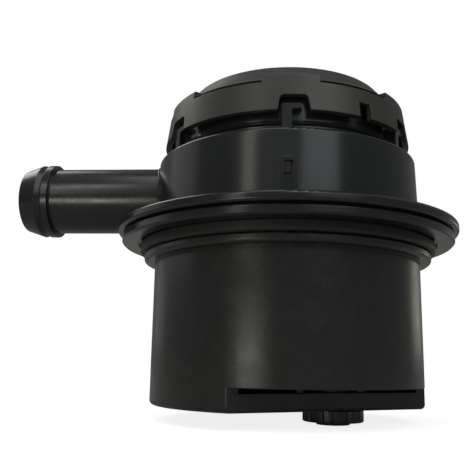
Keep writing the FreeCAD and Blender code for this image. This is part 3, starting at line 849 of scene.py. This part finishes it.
@dataclass
class Studio:
    """Floor, backdrop light, lamps and the camera at the photograph's place.

    Attributes:
        eye: Place of the camera, in metres.
        yaw: Degrees that it looks to the right.
        pitch: Degrees that it looks up.
        roll: Degrees that it is tilted.
        focal_pixels: Focal length, in pixels of the photograph.
        frame_pixels: Width of the photograph.
        near_clip: Nearest distance that the camera shows.
        floor_size: Width of the floor.
        floor_gap: Gap between the floor and the object's lowest point.
        shadow_tone: Tone of the floor that takes the object's shadow.
        bounce_tone: Tone of the floor that lights the object from below.
        whitening: Nearest and farthest distance on the floor, and how white it is at each.
        mirror_share: Share of the white backdrop that reflections see.
        room_tone: Colour of the room's light.
        room_strength: Strength of the room's light.
        lamps: The lamps.
    """

    eye: Point = (0.0, -0.19286, -0.0343)
    yaw: float = -4.45
    pitch: float = 11.22
    roll: float = 0.98
    focal_pixels: float = 628.0
    frame_pixels: float = 475.0
    near_clip: float = 0.01
    floor_size: float = 6.0
    floor_gap: float = 0.0001
    shadow_tone: Colour = (0.5, 0.5, 0.5)
    bounce_tone: Colour = (0.38, 0.38, 0.36)
    whitening: tuple[float, ...] = (0.08, 0.45, 0.84, 1.0)
    mirror_share: float = 0.06
    room_tone: Colour = (0.96, 1.0, 0.98)
    room_strength: float = 0.12
    lamps: tuple[Softbox, ...] = (
        Softbox(
            "window_strip", azimuth=-29.0, elevation=21.3, distance=0.70, width=0.125, height=0.205,
            power=0.156, tint=(1.0, 1.0, 0.93)),
        Softbox(
            "window_head", azimuth=-28.0, elevation=38.0, distance=0.70, width=0.085, height=0.18,
            power=0.24, tint=(1.0, 1.0, 0.93)),
        Softbox(
            "front_panel", azimuth=30.0, elevation=31.0, distance=0.70, width=0.34, height=0.38,
            power=0.54, tint=(0.90, 0.96, 1.0)),
        Softbox(
            "front_high", azimuth=47.0, elevation=42.0, distance=0.72, width=0.30, height=0.22,
            power=0.36, tint=(1.0, 1.0, 0.95)),
        Softbox(
            "front_fill", azimuth=-4.0, elevation=28.0, distance=0.72, width=0.34, height=0.28,
            power=0.07, tint=(0.93, 1.0, 0.97)),
        Softbox(
            "left_panel", azimuth=-100.0, elevation=20.0, distance=0.80, width=0.50, height=0.34,
            power=0.20, tint=(0.97, 1.0, 0.97)),
        Softbox(
            "left_high", azimuth=-120.0, elevation=46.0, distance=0.80, width=0.42, height=0.38,
            power=1.40, tint=(0.98, 1.0, 0.93)),
        Softbox(
            "right_card", azimuth=133.0, elevation=4.0, distance=0.80, width=0.24, height=0.14,
            power=0.095, tint=(1.0, 0.98, 0.86)),
        Softbox(
            "rear_card", azimuth=-130.0, elevation=4.0, distance=0.80, width=0.30, height=0.14,
            power=0.035, tint=(0.98, 1.0, 0.92)),
        Softbox(
            "table_card", azimuth=-25.0, elevation=-4.4, distance=0.44, width=0.15, height=0.024,
            power=0.075, tint=(1.0, 1.0, 0.88)),
        Softbox(
            "table_glow", azimuth=-25.0, elevation=-6.4, distance=0.42, width=0.055, height=0.36,
            power=0.38, tint=(1.0, 1.0, 0.88), aim=Aim.CEILING),
        Softbox(
            "top_softbox", azimuth=8.0, elevation=68.0, distance=0.90, width=0.60, height=0.60,
            power=1.8),
    )

    def backdrop_share(self, desk: NodeDesk) -> bpy.types.NodeSocket:
        """How much of the white backdrop a ray sees.

        Args:
            desk: Node desk of the floor or the world.

        Returns:
            A socket that is 1 for the camera and through glass, and the mirror share for reflections.
        """
        path = desk.add("ShaderNodeLightPath")
        mirrored = desk.math("MULTIPLY", path.outputs["Is Glossy Ray"], self.mirror_share)
        clear = desk.math("MAXIMUM", path.outputs["Is Camera Ray"], path.outputs["Is Transmission Ray"])
        return desk.math("MAXIMUM", clear, mirrored)

    def floor(self) -> None:
        """Lay the pale floor under the object's lowest point."""
        Bench.clear()
        floor_z = CAD_BOX[0][2] - self.floor_gap
        bpy.ops.mesh.primitive_plane_add(size=self.floor_size, location=(0.0, 0.0, floor_z))
        plane = bpy.context.object
        plane.name = "studio_floor"
        material = bpy.data.materials.new("studio_floor")
        material.use_nodes = True
        desk = NodeDesk(material.node_tree)
        shadowed = desk.add("ShaderNodeBsdfDiffuse")
        shadowed.inputs["Color"].default_value = (*self.shadow_tone, 1.0)
        place = desk.add("ShaderNodeTexCoord")
        length = desk.add("ShaderNodeVectorMath", operation="LENGTH")
        desk.join(place.outputs["Object"], length.inputs[0])
        ramp = desk.add("ShaderNodeMapRange")
        desk.join(length.outputs["Value"], ramp.inputs["Value"])
        for label, value in zip(("From Min", "From Max", "To Min", "To Max"), self.whitening):
            ramp.inputs[label].default_value = value
        lifted = desk.add("ShaderNodeEmission")
        desk.join(ramp.outputs[0], lifted.inputs["Strength"])
        white = desk.add("ShaderNodeAddShader")
        desk.join(shadowed.outputs[0], white.inputs[0])
        desk.join(lifted.outputs[0], white.inputs[1])
        bounce = desk.add("ShaderNodeBsdfDiffuse")
        bounce.inputs["Color"].default_value = (*self.bounce_tone, 1.0)
        mixed = desk.add("ShaderNodeMixShader")
        desk.join(self.backdrop_share(desk), mixed.inputs[0])
        desk.join(bounce.outputs[0], mixed.inputs[1])
        desk.join(white.outputs[0], mixed.inputs[2])
        desk.join(mixed.outputs[0], material.node_tree.nodes["Material Output"].inputs["Surface"])
        plane.data.materials.append(material)

    def world(self) -> None:
        """White backdrop for the camera and for reflections, and dim room light for the rest."""
        world = bpy.data.worlds.new("studio_world")
        bpy.context.scene.world = world
        world.use_nodes = True
        desk = NodeDesk(world.node_tree)
        room = world.node_tree.nodes["Background"]
        room.inputs["Color"].default_value = (*self.room_tone, 1.0)
        room.inputs["Strength"].default_value = self.room_strength
        backdrop = desk.add("ShaderNodeBackground")
        backdrop.inputs["Color"].default_value = (1.0, 1.0, 1.0, 1.0)
        mixed = desk.add("ShaderNodeMixShader")
        desk.join(self.backdrop_share(desk), mixed.inputs[0])
        desk.join(room.outputs[0], mixed.inputs[1])
        desk.join(backdrop.outputs[0], mixed.inputs[2])
        desk.join(mixed.outputs[0], world.node_tree.nodes["World Output"].inputs["Surface"])

    def camera(self) -> None:
        """Set the camera where the photograph was taken."""
        yaw, pitch, roll = (math.radians(angle) for angle in (self.yaw, self.pitch, self.roll))
        forward = Vector((
            math.sin(yaw) * math.cos(pitch), math.cos(yaw) * math.cos(pitch), math.sin(pitch)))
        level = Vector((math.cos(yaw), -math.sin(yaw), 0.0))
        upright = level.cross(forward)
        right = level * math.cos(roll) + upright * math.sin(roll)
        upward = upright * math.cos(roll) - level * math.sin(roll)
        turned = Matrix((right, upward, -forward)).transposed().to_4x4()
        lens = bpy.data.cameras.new("photo_camera")
        lens.sensor_fit = "HORIZONTAL"
        lens.lens = self.focal_pixels / self.frame_pixels * lens.sensor_width
        lens.clip_start = self.near_clip
        holder = bpy.data.objects.new("photo_camera", lens)
        holder.matrix_world = Matrix.Translation(Vector(self.eye)) @ turned
        bpy.context.scene.collection.objects.link(holder)
        bpy.context.scene.camera = holder

    def build(self) -> None:
        """Set up the whole studio."""
        self.floor()
        self.world()
        middle = (Vector(CAD_BOX[0]) + Vector(CAD_BOX[1])) / 2
        for lamp in self.lamps:
            lamp.hang(middle)
        self.camera()
        bpy.context.scene.view_settings.view_transform = "Standard"


def main() -> None:
    """Build and dress the filter, then the studio around it."""
    logging.basicConfig(level=logging.INFO)
    parts: tuple[SubAssembly, ...] = (
        Canister(), UpperHousing(), ValveCover(), Regulator(), FilterElement(), ReliefValve(), DrainValve())
    for part in parts:
        part.build()
        part.dress()
    Studio().build()


if __name__ == "__main__":
    main()
